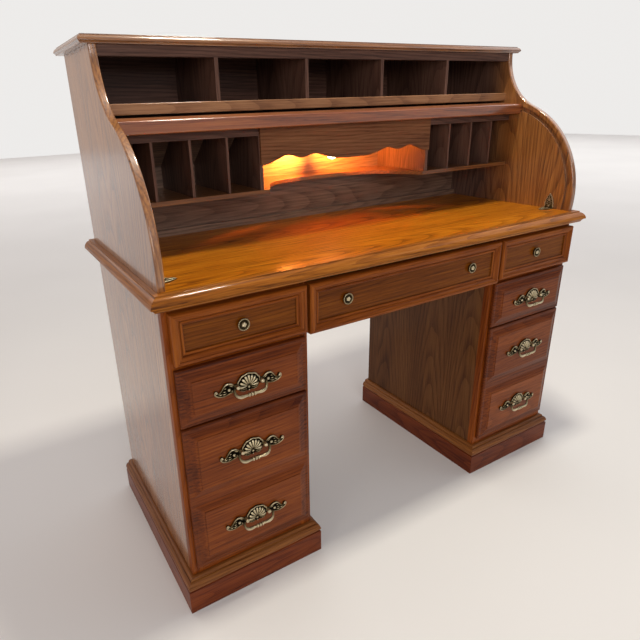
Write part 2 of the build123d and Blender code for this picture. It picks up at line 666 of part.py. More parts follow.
with BuildPart() as inner_back:
    with BuildSketch(Plane.YZ.offset(-HUTCH_INNER)):
        with BuildLine():
            Polyline(
                (UNIT_BACK, DESK_HEIGHT), (UNIT_BACK + THIN_PANEL, DESK_HEIGHT),
                (UNIT_BACK + THIN_PANEL, SLOPE_FOOT + SLOPE_MITRE), (UNIT_TOP_BACK + SLOPE_MITRE, UNIT_TOP),
                (UNIT_TOP_BACK, UNIT_TOP), (UNIT_TOP_BACK, UNIT_TOP - TOP_BOARD),
                (UNIT_BACK, SLOPE_FOOT), close=True,
            )
        make_face()
    extrude(amount=2 * HUTCH_INNER)
save(inner_back, "inner_back")

with BuildPart() as back_cleat:
    board(INSIDE, (UNIT_BACK - CLEAT_THICKNESS, UNIT_BACK), (DESK_HEIGHT, DESK_HEIGHT + CLEAT_HEIGHT))
    fillet(back_cleat.edges().filter_by(Axis.X).group_by(Axis.Z)[-1].sort_by(Axis.Y)[0], CLEAT_ROUND)
save(back_cleat, "back_cleat")

with BuildPart() as corner_brackets:
    for sign in (-1, 1):
        foot = sorted((sign * HUTCH_INNER, sign * (HUTCH_INNER - BRACKET_LEG)))
        leg = sorted((sign * HUTCH_INNER, sign * (HUTCH_INNER - BRACKET_PLATE)))
        board(foot, BRACKET_Y, (DESK_HEIGHT, DESK_HEIGHT + BRACKET_PLATE))
        board(leg, BRACKET_Y, (DESK_HEIGHT + BRACKET_PLATE, DESK_HEIGHT + BRACKET_LEG))
save(corner_brackets, "corner_brackets")

with BuildPart() as lamp_holder:
    with BuildSketch(Plane.XY.offset(HOLDER_BOTTOM)):
        with Locations((0, LAMP_Y)):
            Circle(HOLDER_RADIUS)
    extrude(amount=UNIT_TOP - TOP_BOARD - HOLDER_BOTTOM)
    fillet(lamp_holder.faces().sort_by(Axis.Z)[0].edges(), HOLDER_ROUND)
save(lamp_holder, "lamp_holder")

with BuildPart() as lamp_bulb:
    with BuildSketch(Plane((0, LAMP_Y, 0), x_dir=(1, 0, 0), z_dir=(0, -1, 0))):
        with BuildLine():
            neck = Line((0, HOLDER_BOTTOM), (BULB_NECK, HOLDER_BOTTOM))
            Spline(neck @ 1, BULB_SHOULDER, (BULB_RADIUS, BULB_BOTTOM + BULB_RADIUS))
            CenterArc((0, BULB_BOTTOM + BULB_RADIUS), BULB_RADIUS, 0, -90)
            Line((0, BULB_BOTTOM), (0, HOLDER_BOTTOM))
        make_face()
    revolve(axis=Axis((0, LAMP_Y, 0), (0, 0, 1)))
save(lamp_bulb, "lamp_bulb")


# ---- Tambour curtain, drawn closed and turned back to its open place ------------------
TRACK_AXIS = Axis((0, TRACK_Y, TRACK_Z), (1, 0, 0))


def sector(inner, outer, start, arc):
    """A ring sector about the track's centre, drawn in the side view."""
    with BuildLine() as outline:
        near = CenterArc((TRACK_Y, TRACK_Z), inner, start, arc)
        far = CenterArc((TRACK_Y, TRACK_Z), outer, start, arc)
        Line(near @ 0, far @ 0)
        Line(near @ 1, far @ 1)
    make_face(outline.edges())


def rail_section(inner, outer):
    """The lift rail's section: its lower face lies flat above the closed desktop."""
    with BuildSketch(Plane.YZ) as section:
        sector(inner, outer, CLOSED_LEAD - RAIL_ARC, RAIL_ARC + 4)
        with Locations((TRACK_Y, DESK_HEIGHT + DESK_CLEARANCE)):
            Rectangle(4 * outer, outer, align=(Align.CENTER, Align.MAX), mode=Mode.SUBTRACT)
    return section.sketch


OPEN_TURN = Rotation(-TRAVEL, 0, 0)
TO_AXIS = Pos(0, TRACK_Y, TRACK_Z)
open_place = TO_AXIS * OPEN_TURN * TO_AXIS.inverse()

with BuildPart() as lift_rail:
    extrude(open_place * rail_section(RAIL_INNER, RAIL_OUTER), amount=HUTCH_INNER - RAIL_END_GAP, both=True)
    fillet(lift_rail.edges().filter_by(Axis.X), RAIL_ROUND)
    extrude(open_place * rail_section(SLAT_INNER, SLAT_OUTER), amount=TENON_END, both=True)
save(lift_rail, "lift_rail")

FIRST_SLAT = OPEN_LEAD - RAIL_ARC


def make_slat(start):
    """One slat with a crowned outer face."""
    with BuildPart() as slat:
        with BuildSketch(Plane.YZ):
            sector(SLAT_INNER, SLAT_OUTER, start, SLAT_PITCH - SLAT_GAP)
        extrude(amount=TENON_END, both=True)
        crown = slat.edges().filter_by(Axis.X).filter_by(
            lambda edge: math.hypot(edge.center().Y - TRACK_Y, edge.center().Z - TRACK_Z) > SLAT_OUTER - 1)
        fillet(crown, SLAT_ROUND)
    return slat.part


slats = [make_slat(FIRST_SLAT - (index + 1) * SLAT_PITCH + SLAT_GAP / 2) for index in range(SLAT_COUNT)]
with BuildPart() as tambour_slats:
    add(slats)
save(tambour_slats, "tambour_slats")

with BuildPart() as tambour_canvas:
    with BuildSketch(Plane.YZ):
        curtain_arc = SLAT_COUNT * SLAT_PITCH
        sector(SLAT_INNER - CANVAS_THICKNESS, SLAT_INNER, FIRST_SLAT - curtain_arc, curtain_arc)
    extrude(amount=CANVAS_HALF, both=True)
save(tambour_canvas, "tambour_canvas")
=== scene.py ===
import math

import bpy
import numpy as np
from mathutils import Matrix, Quaternion, Vector


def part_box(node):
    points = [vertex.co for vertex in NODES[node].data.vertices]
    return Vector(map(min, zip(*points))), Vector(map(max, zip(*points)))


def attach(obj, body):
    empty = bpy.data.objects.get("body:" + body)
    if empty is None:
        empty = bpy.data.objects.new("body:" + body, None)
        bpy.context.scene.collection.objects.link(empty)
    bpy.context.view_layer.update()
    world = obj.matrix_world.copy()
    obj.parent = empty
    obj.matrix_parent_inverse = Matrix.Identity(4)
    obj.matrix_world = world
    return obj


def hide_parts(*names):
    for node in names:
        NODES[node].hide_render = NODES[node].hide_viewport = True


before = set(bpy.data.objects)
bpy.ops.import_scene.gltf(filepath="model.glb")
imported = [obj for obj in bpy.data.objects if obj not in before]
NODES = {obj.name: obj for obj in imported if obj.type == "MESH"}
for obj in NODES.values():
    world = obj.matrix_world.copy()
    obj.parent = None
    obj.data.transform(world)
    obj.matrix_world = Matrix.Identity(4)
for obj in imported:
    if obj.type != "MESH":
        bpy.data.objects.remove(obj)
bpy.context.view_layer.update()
MM = 0.001
HANDS = ("left", "right")
bpy.context.scene.view_settings.view_transform = "Standard"


def put_object(name, data, place=(0, 0, 0), turn=None):
    """A new object in the scene, turned by a quaternion."""
    thing = bpy.data.objects.new(name, data)
    bpy.context.scene.collection.objects.link(thing)
    thing.location = place
    if turn is not None:
        thing.rotation_mode = "QUATERNION"
        thing.rotation_quaternion = turn
    return thing


def facing(direction):
    """The turn that points a camera or a light along a direction."""
    return Vector(direction).to_track_quat("-Z", "Y")


# ---- Camera ---------------------------------------------------------------------------
CAMERA_PLACE = (-0.8642, -1.1351, 1.0691)
CAMERA_LOOK = (0.4640, 0.8073, -0.3648)
CAMERA_ROLL = -0.0344
CAMERA_LENS = 29.83
CAMERA_SHIFT = (0.0562, -0.0110)

camera_data = bpy.data.cameras.new("camera")
camera_data.lens = CAMERA_LENS
camera_data.shift_x, camera_data.shift_y = CAMERA_SHIFT
camera_turn = facing(CAMERA_LOOK) @ Quaternion((0, 0, 1), CAMERA_ROLL)
bpy.context.scene.camera = put_object("camera", camera_data, CAMERA_PLACE, camera_turn)


# ---- Node nets ------------------------------------------------------------------------
MIX_SOCKETS = {"FLOAT": (2, 3, 0), "RGBA": (6, 7, 2)}   # a Mix node's two inputs and its output


class Net:
    """The nodes of a material or of the world, wired one call at a time."""

    def __init__(self, owner, shader="Principled BSDF"):
        owner.use_nodes = True
        self.owner = owner
        self.tree = owner.node_tree
        self.shader = self.tree.nodes[shader]

    def put(self, socket, value):
        if isinstance(value, bpy.types.NodeSocket):
            self.tree.links.new(value, socket)
        else:
            socket.default_value = value

    def add(self, kind, inputs=(), **settings):
        node = self.tree.nodes.new(kind)
        for key, value in settings.items():
            setattr(node, key, value)
        for key, value in dict(inputs).items():
            self.put(node.inputs[key], value)
        return node

    def math(self, operation, *values):
        node = self.add("ShaderNodeMath", operation=operation)
        for socket, value in zip(node.inputs, values):
            self.put(socket, value)
        return node.outputs[0]

    def object_place(self):
        return self.add("ShaderNodeTexCoord").outputs["Object"]

    def split(self, vector):
        return self.add("ShaderNodeSeparateXYZ", {0: vector}).outputs

    def join(self, x, y, z):
        return self.add("ShaderNodeCombineXYZ", {0: x, 1: y, 2: z}).outputs[0]

    def stretch(self, place, lengthwise, crosswise):
        """A place scaled apart along its first coordinate and across it."""
        scales = (lengthwise, crosswise, crosswise)
        return self.join(*[self.math("MULTIPLY", part, scale) for part, scale in zip(place, scales)])

    def sway(self, value, noise, amount):
        """A value moved up and down by a noise about its middle."""
        return self.math("MULTIPLY_ADD", self.math("SUBTRACT", noise, 0.5), amount, value)

    def mix(self, factor, low, high, kind="FLOAT"):
        first, second, result = MIX_SOCKETS[kind]
        node = self.add("ShaderNodeMix", {"Factor": factor}, data_type=kind)
        self.put(node.inputs[first], low)
        self.put(node.inputs[second], high)
        return node.outputs[result]

    def step(self, value, start, end, low=0.0, high=1.0):
        """A smooth step from low to high as value goes from start to end."""
        inputs = {0: value, 1: start, 2: end, 3: low, 4: high}
        return self.add("ShaderNodeMapRange", inputs, interpolation_type="SMOOTHSTEP").outputs[0]

    def noise(self, vector, scale=1.0, detail=2.0, rough=0.5):
        inputs = {"Vector": vector, "Scale": scale, "Detail": detail, "Roughness": rough}
        return self.add("ShaderNodeTexNoise", inputs).outputs["Fac"]

    def ramp(self, value, stops):
        node = self.add("ShaderNodeValToRGB", {0: value})
        elements = node.color_ramp.elements
        while len(elements) < len(stops):
            elements.new(0.5)
        for element, (place, colour) in zip(elements, stops):
            element.position = place
            element.color = (*colour, 1.0)
        return node.outputs[0]

    def openness(self, distance, **settings):
        """From 0 deep in a crevice to 1 out in the open."""
        return self.add("ShaderNodeAmbientOcclusion", {"Distance": distance}, **settings).outputs["AO"]

    def bump(self, height, strength, distance, normal=None):
        inputs = {"Height": height, "Strength": strength, "Distance": distance}
        node = self.add("ShaderNodeBump", inputs)
        if normal is not None:
            self.put(node.inputs["Normal"], normal)
        return node.outputs[0]

    def shade(self, **values):
        for key, value in values.items():
            self.put(self.shader.inputs[key.replace("_", " ")], value)


def new_material(name):
    return Net(bpy.data.materials.new(name))


# ---- Oak ------------------------------------------------------------------------------
LACQUER = {"Coat_Weight": 1.0, "Coat_Roughness": 0.14, "Coat_IOR": 1.8, "Specular_IOR_Level": 0.4}
VARNISH = {"Coat_Weight": 0.8, "Coat_Roughness": 0.16, "Coat_IOR": 1.5, "Specular_IOR_Level": 0.2}
SATIN = {"Coat_Weight": 0.22, "Coat_Roughness": 0.10, "Coat_IOR": 1.45, "Specular_IOR_Level": 0.05}
POLISH = {"Coat_Weight": 0.4, "Coat_Roughness": 0.09, "Coat_IOR": 1.45, "Specular_IOR_Level": 0.05}
RUBBED = {"Coat_Weight": 0.22, "Coat_Roughness": 0.11, "Coat_IOR": 1.45, "Specular_IOR_Level": 0.1}
SHEEN = {"Coat_Weight": 0.6, "Coat_Roughness": 0.18, "Coat_IOR": 1.5, "Specular_IOR_Level": 0.3}
DULL = {"Coat_Weight": 0.2, "Coat_Roughness": 0.25, "Coat_IOR": 1.45, "Specular_IOR_Level": 0.2}

TONE_PLACES = (0.0, 0.45, 1.0)
PALETTES = {
    "desk": ((0.060, 0.014, 0.002), (0.350, 0.102, 0.004), (0.660, 0.240, 0.012)),
    "case": ((0.050, 0.016, 0.006), (0.180, 0.064, 0.016), (0.360, 0.150, 0.038)),
    # dark is a darker copy of case: painted shade for the kneehole's sides.
    "dark": ((0.028, 0.009, 0.004), (0.095, 0.034, 0.010), (0.200, 0.082, 0.024)),
    "front": ((0.044, 0.007, 0.002), (0.176, 0.037, 0.004), (0.350, 0.090, 0.011)),
    # mould is redder and lighter than front: partly the frames' own tone, partly a painted highlight.
    "mould": ((0.060, 0.011, 0.002), (0.225, 0.054, 0.006), (0.430, 0.132, 0.016)),
    "edge": ((0.060, 0.016, 0.004), (0.290, 0.092, 0.010), (0.560, 0.214, 0.030)),
    # side is a lighter copy of case: painted light for the outer and hutch sides.
    "side": ((0.060, 0.019, 0.007), (0.225, 0.080, 0.019), (0.450, 0.190, 0.047)),
    "cap": ((0.046, 0.013, 0.004), (0.170, 0.054, 0.012), (0.340, 0.130, 0.030)),
    "panel": ((0.040, 0.008, 0.001), (0.150, 0.038, 0.002), (0.290, 0.092, 0.006)),
    "plinth": ((0.026, 0.004, 0.001), (0.108, 0.017, 0.003), (0.245, 0.052, 0.008)),
    "board": ((0.036, 0.013, 0.007), (0.140, 0.054, 0.023), (0.290, 0.130, 0.056)),
    "rail": ((0.060, 0.013, 0.003), (0.240, 0.056, 0.009), (0.480, 0.150, 0.030)),
    "lip": ((0.060, 0.022, 0.010), (0.220, 0.092, 0.036), (0.440, 0.220, 0.098)),
    # cell is a darker, greyer copy of the oak: painted shade for the cubbies and pigeonholes.
    "cell": ((0.026, 0.013, 0.010), (0.096, 0.047, 0.033), (0.210, 0.110, 0.076)),
    "inside": ((0.044, 0.026, 0.020), (0.175, 0.100, 0.066), (0.350, 0.210, 0.135)),
    "pale": ((0.300, 0.170, 0.080), (0.500, 0.320, 0.170), (0.640, 0.450, 0.270)),
}

# Lengths are in metres, and tones are shares of a palette.
# A pair of scales is along the grain and across it.
LEAF_START = 3.013          # far enough out that every veneer leaf's number is above 0
LEAF_SEED = 31
LEAF_TONE = 0.12
PITH_DRIFT = 0.6            # how far the tree's middle wanders over a leaf, in leaf widths
PITH_DEPTH = 0.045
PITH_TILT = 0.07            # how fast the middle falls away along the grain, which arches the rings
BOARD_DEPTH = 0.03          # the pattern repeats at twice this depth through a board
RING = 0.0075
RING_WARP = 0.022
WARP_SCALES = (2.4, 11.0)
EARLY_WOOD = 0.6            # the share of a year's ring over which early wood gives way to late
STREAK_SCALES = (7.0, 260.0)
PORE_SCALES = (34.0, 1250.0)
PORE_LIMITS = (0.56, 0.68)
PORE_TONE = -0.24
LATE_PORES = 0.25           # the share of its pores that late wood keeps
CLOUD_SCALES = (1.3, 9.0)
CLOUD_NOISE = (1.4, 1.5)
CLOUD_TONE = 0.7
OAK_ROUGHNESS = 0.45
PORE_ROUGHNESS = 0.15
STREAK_HEIGHT = 0.35
GRAIN_BUMP = (0.2, 0.0003)
# Painted shade: wood sunk between these depths behind a raised field's face is darkened.
SUNK_DEPTHS = (1.5 * MM, 4 * MM)
SUNK_SHADE = 0.20
# Painted shade: wood found sheltered within this reach, in crevices and recesses, is darkened.
CREVICE_REACH = 0.014
CREVICE_LIMITS = (0.2, 0.7)
CREVICE_SHADE = 0.34


def along(net, place, grain):
    """The place with its first coordinate along the grain: x, y, z, or a rule that joins two."""
    x, y, z = place
    runs = {"x": (x, y, z), "y": (y, x, z), "z": (z, x, y)}
    if grain in runs:
        return net.join(*runs[grain])
    first, second, factor = grain(net, x, y, z)
    return net.join(*[net.mix(factor, a, b) for a, b in zip(runs[first], runs[second])])


def year_rings(net, place, leaf, shift):
    """How early in its year the wood grew, from 0 to 1, and a random tone for its veneer leaf."""
    u, v, w = place
    shifted = net.math("ADD", v, shift + LEAF_START)
    index = net.math("FLOOR", net.math("DIVIDE", shifted, leaf))
    seed = net.math("ADD", index, shift * LEAF_SEED)
    draw = net.add("ShaderNodeTexWhiteNoise", {"W": seed}, noise_dimensions="1D")
    red, green, blue = net.add("ShaderNodeSeparateColor", {0: draw.outputs["Color"]}).outputs[:3]
    across = net.math("SUBTRACT", shifted, net.math("MULTIPLY", net.math("ADD", index, 0.5), leaf))
    across = net.math("SUBTRACT", across, leaf * PITH_DRIFT / 2)
    across = net.math("MULTIPLY_ADD", red, leaf * PITH_DRIFT, across)
    deep = net.math("ADD", net.math("WRAP", w, BOARD_DEPTH, -BOARD_DEPTH), PITH_DEPTH)
    deep = net.math("MULTIPLY_ADD", net.math("ADD", u, green), PITH_TILT, deep)
    squares = net.math("ADD", net.math("MULTIPLY", across, across), net.math("MULTIPLY", deep, deep))
    radius = net.sway(net.math("SQRT", squares), net.noise(net.stretch(place, *WARP_SCALES)), RING_WARP)
    saw = net.math("FRACT", net.math("DIVIDE", radius, RING))
    return net.step(saw, 0.0, EARLY_WOOD, 1.0, 0.0), blue


def stain(net, tone, palette):
    return net.ramp(tone, tuple(zip(TONE_PLACES, PALETTES[palette])))


def oak(name, palette, grain, leaf=0.17, swap_across=False, shift=0.0, figure=0.17, streaks=1.2,
        arris=0.0012, sunk=None, other=None, gloss=LACQUER):
    """Lacquered oak: veneer leaves with arched rings, fine streaks, open pores and painted shade in
    crevices.

    leaf is the width of the veneer leaves, which lie side by side across the grain, and swap_across
    turns them to the other way across it. figure and streaks say how strongly the rings and the
    streaks show, and arris is the radius that edges are softened by. sunk is the y of a raised
    field, behind which the bevels get painted shade. other is a second palette, with the rule for
    where it shows.
    """
    net = new_material(name)
    place = net.split(net.object_place())
    u, v, w = net.split(along(net, place, grain))
    if swap_across:
        v, w = w, v
    early, leaf_tone = year_rings(net, (u, v, w), leaf, shift)
    streak = net.noise(net.stretch((u, v, w), *STREAK_SCALES), detail=4.0, rough=0.7)
    pore = net.step(net.noise(net.stretch((u, v, w), *PORE_SCALES), detail=1.0), *PORE_LIMITS)
    open_pore = net.math("MULTIPLY", pore, net.math("MULTIPLY_ADD", early, 1 - LATE_PORES, LATE_PORES))
    lengthwise, crosswise = CLOUD_SCALES
    drift = net.join(net.math("MULTIPLY", u, lengthwise), net.math("MULTIPLY", v, crosswise), w)
    cloud = net.noise(drift, *CLOUD_NOISE)

    tone = net.math("MULTIPLY_ADD", early, -figure, 0.5 + figure * 0.5)
    tone = net.math("MULTIPLY_ADD", open_pore, PORE_TONE, tone)
    tone = net.sway(tone, streak, streaks)
    tone = net.sway(tone, cloud, CLOUD_TONE)
    tone = net.sway(tone, leaf_tone, LEAF_TONE)
    # Painted shade on the border and bevels behind a raised field.
    if sunk is not None:
        start, end = SUNK_DEPTHS
        tone = net.math("SUBTRACT", tone, net.step(place[1], sunk + start, sunk + end, 0.0, SUNK_SHADE))
    # Painted shade in crevices and recesses, where ambient occlusion finds the wood sheltered.
    openness = net.openness(CREVICE_REACH, samples=4, only_local=True)
    tone = net.math("SUBTRACT", tone, net.step(openness, *CREVICE_LIMITS, CREVICE_SHADE, 0.0))

    colour = stain(net, tone, palette)
    if other is not None:
        second, where = other
        colour = net.mix(where(net, *place), colour, stain(net, tone, second), "RGBA")
    soft_edges = net.add("ShaderNodeBevel", {"Radius": arris}, samples=4).outputs[0]
    height = net.math("SUBTRACT", net.math("MULTIPLY", streak, STREAK_HEIGHT), open_pore)
    net.shade(
        Base_Color=colour,
        Roughness=net.math("MULTIPLY_ADD", open_pore, PORE_ROUGHNESS, OAK_ROUGHNESS),
        Normal=net.bump(height, *GRAIN_BUMP, soft_edges),
        Coat_Normal=soft_edges,
    )
    net.shade(**gloss)
    return net.owner


# ---- Where the grain turns and the stain changes --------------------------------------
low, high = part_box("right_face_frame")
PEDESTAL_FRONT = low.y
PEDESTAL_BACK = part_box("pedestal_backs")[1].y
PEDESTAL_MIDDLE = (low.x + high.x) / 2
PEDESTAL_HALF = (high.x - low.x) / 2
STILE = 28 * MM
PICTURE_FRAME = 25 * MM
EDGING = 24 * MM
CROWN_EDGE = 14 * MM
PLINTH_CAP = 61 * MM
# Painted shade on the inner faces of the hutch sides, deepening towards the rear.
HUTCH_SHADE_SPAN = (-0.02, 0.10)  # from this y to that, front to rear


def off_middle(net, x):
    """How far a point is from the middle of its pedestal, left or right."""
    return net.math("ABSOLUTE", net.math("SUBTRACT", net.math("ABSOLUTE", x), PEDESTAL_MIDDLE))


def inward(net, node, x, z):
    """How far a point is in from a drawer front's sides, and from its top and bottom."""
    low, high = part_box(node)
    centre, half = (low + high) / 2, (high - low) / 2
    side = net.math("SUBTRACT", half.x, net.math("ABSOLUTE", net.math("SUBTRACT", x, centre.x)))
    end = net.math("SUBTRACT", half.z, net.math("ABSOLUTE", net.math("SUBTRACT", z, centre.z)))
    return side, end


def mitred(node, width):
    """Grain along x at the front and along y at the sides of a mitred edging."""
    low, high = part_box(node)

    def rule(net, x, y, z):
        side = net.math("SUBTRACT", net.math("ABSOLUTE", x), high.x - width)
        ahead = net.math("MAXIMUM", net.math("SUBTRACT", low.y + width, y), 0.0)
        return "x", "y", net.math("GREATER_THAN", side, ahead)
    return rule


def plinth_rule(net, x, y, z):
    """Grain along x at the front and along y at the sides of a plinth."""
    side = net.math("SUBTRACT", off_middle(net, x), PEDESTAL_HALF)
    ahead = net.math("SUBTRACT", PEDESTAL_FRONT, y)
    before_back = net.math("LESS_THAN", y, PEDESTAL_BACK)
    return "x", "y", net.math("MULTIPLY", net.math("GREATER_THAN", side, ahead), before_back)


def cap_rule(net, x, y, z):
    """The moulded cap of a plinth, above its base board."""
    return net.math("GREATER_THAN", z, PLINTH_CAP)


def stile_rule(net, x, y, z):
    """Grain up the stiles of a face frame and along its rails."""
    return "x", "z", net.math("GREATER_THAN", off_middle(net, x), PEDESTAL_HALF - STILE)


def picture(node):
    """Grain up the side members of a picture frame and along the rest."""
    def rule(net, x, y, z):
        side, end = inward(net, node, x, z)
        member = net.math("LESS_THAN", side, PICTURE_FRAME)
        return "x", "z", net.math("MULTIPLY", member, net.math("LESS_THAN", side, end))
    return rule


def inset(node):
    """The recessed panel inside a picture frame."""
    def rule(net, x, y, z):
        side, end = inward(net, node, x, z)
        return net.math("GREATER_THAN", net.math("MINIMUM", side, end), PICTURE_FRAME - 1 * MM)
    return rule


def behind(face, start, end):
    """The inner face of a hutch side, with painted shade that deepens from its front to its rear."""
    def rule(net, x, y, z):
        inner = net.math("LESS_THAN", net.math("ABSOLUTE", x), face + 1 * MM)
        return net.math("MULTIPLY", inner, net.step(y, start, end))
    return rule


# ---- The wood of each node ------------------------------------------------------------
SIDE_BOARD = {"grain": "z", "leaf": 0.16, "swap_across": True}
INNER_BOARD = {"grain": "x", "leaf": 0.3, "swap_across": True}
# Painted shade: the darker cell palette spreads over the rear of the hutch sides' inner faces.
HUTCH_SHADE_RULE = behind(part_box("hutch_right_side")[0].x, *HUTCH_SHADE_SPAN)
BOXES = [f"{hand}_{row}_drawer_box" for hand in HANDS for row in ("top", "second", "deep")]


def dress(material, *names):
    for name in names:
        for slot in NODES[name].material_slots:
            slot.material = material


dress(oak("oak_desktop_panel", "desk", "x", leaf=0.21, figure=0.24, streaks=1.7, gloss=POLISH),
      "desktop_panel")
dress(oak("oak_desktop_edging", "edge", mitred("desktop_edging", EDGING), leaf=0.3, gloss=POLISH),
      "desktop_edging")
dress(oak("oak_crown", "case", mitred("hutch_top", CROWN_EDGE)),
      "hutch_top")
# Painted light: the outer and hutch sides take the lighter side palette.
dress(oak("oak_outer_upright", "side", **SIDE_BOARD, figure=0.26, streaks=1.6),
      "left_outer_side", "right_outer_side")
# Painted shade: the hutch sides' inner faces turn to the darker cell palette towards the rear.
dress(oak("oak_hutch_upright", "side", **SIDE_BOARD, figure=0.26, streaks=1.6, other=("cell", HUTCH_SHADE_RULE)),
      "hutch_left_side", "hutch_right_side")
# Painted shade: the kneehole's sides take the darker palette.
dress(oak("oak_inner_upright", "dark", **SIDE_BOARD, shift=0.3, figure=0.22, gloss=SATIN),
      "left_inner_side", "right_inner_side")
dress(oak("oak_back_upright", "case", "z", leaf=0.2, gloss=SATIN),
      "pedestal_backs")
dress(oak("oak_case_level", "case", "x", leaf=0.2, swap_across=True, gloss=SATIN),
      "rear_apron")
dress(oak("oak_case_floor", "case", "y", leaf=0.2, gloss=SATIN),
      "pedestal_bottoms")
dress(oak("oak_plinth", "plinth", plinth_rule, leaf=0.2, swap_across=True, other=("cap", cap_rule),
          gloss=RUBBED),
      "left_plinth", "right_plinth")
dress(oak("oak_face_frame", "front", stile_rule, leaf=0.05, gloss=SATIN),
      "left_face_frame", "right_face_frame")
for row, shift in (("second", 0.0), ("deep", 0.17)):
    # The bevels behind these fronts' raised fields get painted shade.
    field_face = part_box(f"left_{row}_drawer_front")[0].y
    dress(oak("oak_front_" + row, "front", "x", leaf=0.5, swap_across=True, shift=shift,
              figure=0.10, arris=0.003, sunk=field_face, gloss=RUBBED),
          f"left_{row}_drawer_front", f"right_{row}_drawer_front")
for name in ("left_top_drawer_front", "right_top_drawer_front", "centre_drawer_front"):
    # The frames' lighter palette is partly a painted highlight; the inset panel takes its own.
    dress(oak("oak_" + name, "mould", picture(name), leaf=0.4, swap_across=True,
              figure=0.12, arris=0.002, other=("panel", inset(name)), gloss=SATIN),
          name)
dress(oak("oak_inner_back", "inside", **INNER_BOARD, streaks=1.6, gloss=SHEEN),
      "inner_back", "back_cleat")
# Painted shade: the cubbies' rail, top and back take the darker cell palette.
dress(oak("oak_interior_level", "cell", **INNER_BOARD, gloss=RUBBED),
      "cubby_rail", "pigeonhole_top", "hutch_back")
dress(oak("oak_shelf", "case", **INNER_BOARD, shift=0.6, gloss=VARNISH),
      "pigeonhole_shelf")
dress(oak("oak_valance", "board", **INNER_BOARD, shift=0.4, gloss=SATIN),
      "valance")
dress(oak("oak_lip", "lip", **INNER_BOARD, shift=0.2, gloss=VARNISH),
      "cubby_shelf")
# Painted shade: the dividers take the darker cell palette.
dress(oak("oak_interior_upright", "cell", "z", leaf=0.12, swap_across=True, gloss=RUBBED),
      "cubby_dividers", "pigeonhole_dividers")
dress(oak("oak_tambour", "case", "x", leaf=0.5),
      "tambour_slats")
dress(oak("oak_lift_rail", "rail", "x", leaf=0.5),
      "lift_rail")
dress(oak("drawer_wood", "pale", "y", leaf=0.3, swap_across=True, figure=0.06, gloss=DULL),
      "drawer_runners", "centre_drawer_box", *BOXES)


# ---- Canvas, plastic and glass --------------------------------------------------------
THREAD = 5200.0             # radians of weave to the metre
BULB_GLOW = 22.0


def canvas():
    """A plain weave in flecked, unbleached thread."""
    net = new_material("canvas_weave")
    x, y, z = net.split(net.object_place())
    warp = net.math("SINE", net.math("MULTIPLY", x, THREAD))
    weft = net.math("SINE", net.math("MULTIPLY", net.math("ADD", y, z), THREAD))
    weave = net.math("MULTIPLY", warp, weft)
    fleck = net.noise(net.join(x, y, z), 60.0, 3.0)
    tone = net.math("MULTIPLY_ADD", weave, 0.15, fleck)
    stops = ((0.2, (0.16, 0.13, 0.09)), (0.6, (0.30, 0.25, 0.18)), (1.0, (0.40, 0.35, 0.27)))
    net.shade(Base_Color=net.ramp(tone, stops), Roughness=0.9, Normal=net.bump(weave, 0.4, 0.0003))
    return net.owner


def socket_plastic():
    """Near-black moulded plastic."""
    net = new_material("socket_plastic")
    grain = net.noise(net.object_place(), 900.0)
    stops = ((0.3, (0.012, 0.011, 0.010)), (0.7, (0.030, 0.027, 0.024)))
    net.shade(Base_Color=net.ramp(grain, stops), Roughness=0.35, Normal=net.bump(grain, 0.1, 0.0002))
    return net.owner


def bulb_glass():
    """Frosted glass, lit from inside."""
    net = new_material("bulb_glass")
    frost = net.noise(net.object_place(), 160.0)
    net.shade(
        Base_Color=net.ramp(frost, ((0.3, (0.95, 0.80, 0.58)), (0.7, (1.0, 0.90, 0.72)))),
        Emission_Color=net.ramp(frost, ((0.3, (1.0, 0.78, 0.46)), (0.7, (1.0, 0.86, 0.58)))),
        Emission_Strength=BULB_GLOW,
        Roughness=0.3,
    )
    return net.owner


dress(canvas(), "tambour_canvas")
dress(socket_plastic(), "lamp_holder")
dress(bulb_glass(), "lamp_bulb")


# ---- Cast brass -----------------------------------------------------------------------
BRASS_STOPS = (
    (0.15, (0.012, 0.009, 0.005)), (0.40, (0.066, 0.050, 0.026)),
    (0.68, (0.240, 0.180, 0.086)), (1.0, (0.700, 0.600, 0.390)),
)
SHELTER_REACH = 0.005
PLATE_CHAMFER = (0.6, 0.5)  # its width and its depth, in millimetres
TIP_RADIUS = 0.02           # in millimetres, so that a turned shape never closes to a point
STEEP = 0.9


def antique_brass(name, deepest, proudest):
    """Brass left dark in its recesses and rubbed pale on what stands proud, along -Y."""
    net = new_material(name)
    place = net.object_place()
    proud = net.math("MULTIPLY", net.split(place)[1], -1.0)
    height = net.add("ShaderNodeMapRange", {0: proud, 1: deepest, 2: proudest}).outputs[0]
    wear = net.sway(height, net.noise(place, 420.0, 3.0), 0.5)
    openness = net.openness(SHELTER_REACH, samples=8)
    wear = net.math("MULTIPLY", wear, net.step(openness, 0.35, 0.95, 0.25, 1.0))
    net.shade(
        Base_Color=net.ramp(wear, BRASS_STOPS),
        Roughness=net.step(wear, 0.2, 0.8, 0.55, 0.28),
        Normal=net.bump(net.noise(place, 900.0), 0.15, 0.0003),
        Metallic=1.0,
    )
    return net.owner


def smooth(path, radii, steps):
    """Points and radii along a Catmull-Rom curve through the given ones."""
    points = [Vector(p) for p in path]
    if len(radii) != len(points):
        marks = np.linspace(0, 1, len(radii))
        radii = [float(r) for r in np.interp(np.linspace(0, 1, len(points)), marks, radii)]
    ends = [2 * points[0] - points[1], *points, 2 * points[-1] - points[-2]]
    out_points, out_radii = [], []
    for i in range(len(points) - 1):
        p0, p1, p2, p3 = ends[i:i + 4]
        for k in range(steps):
            t = k / steps
            out_points.append(0.5 * (2 * p1 + (p2 - p0) * t + (2 * p0 - 5 * p1 + 4 * p2 - p3) * t * t
                                     + (3 * p1 - p0 - 3 * p2 + p3) * t ** 3))
            out_radii.append(radii[i] * (1 - t) + radii[i + 1] * t)
    return [*out_points, points[-1]], [*out_radii, radii[-1]]


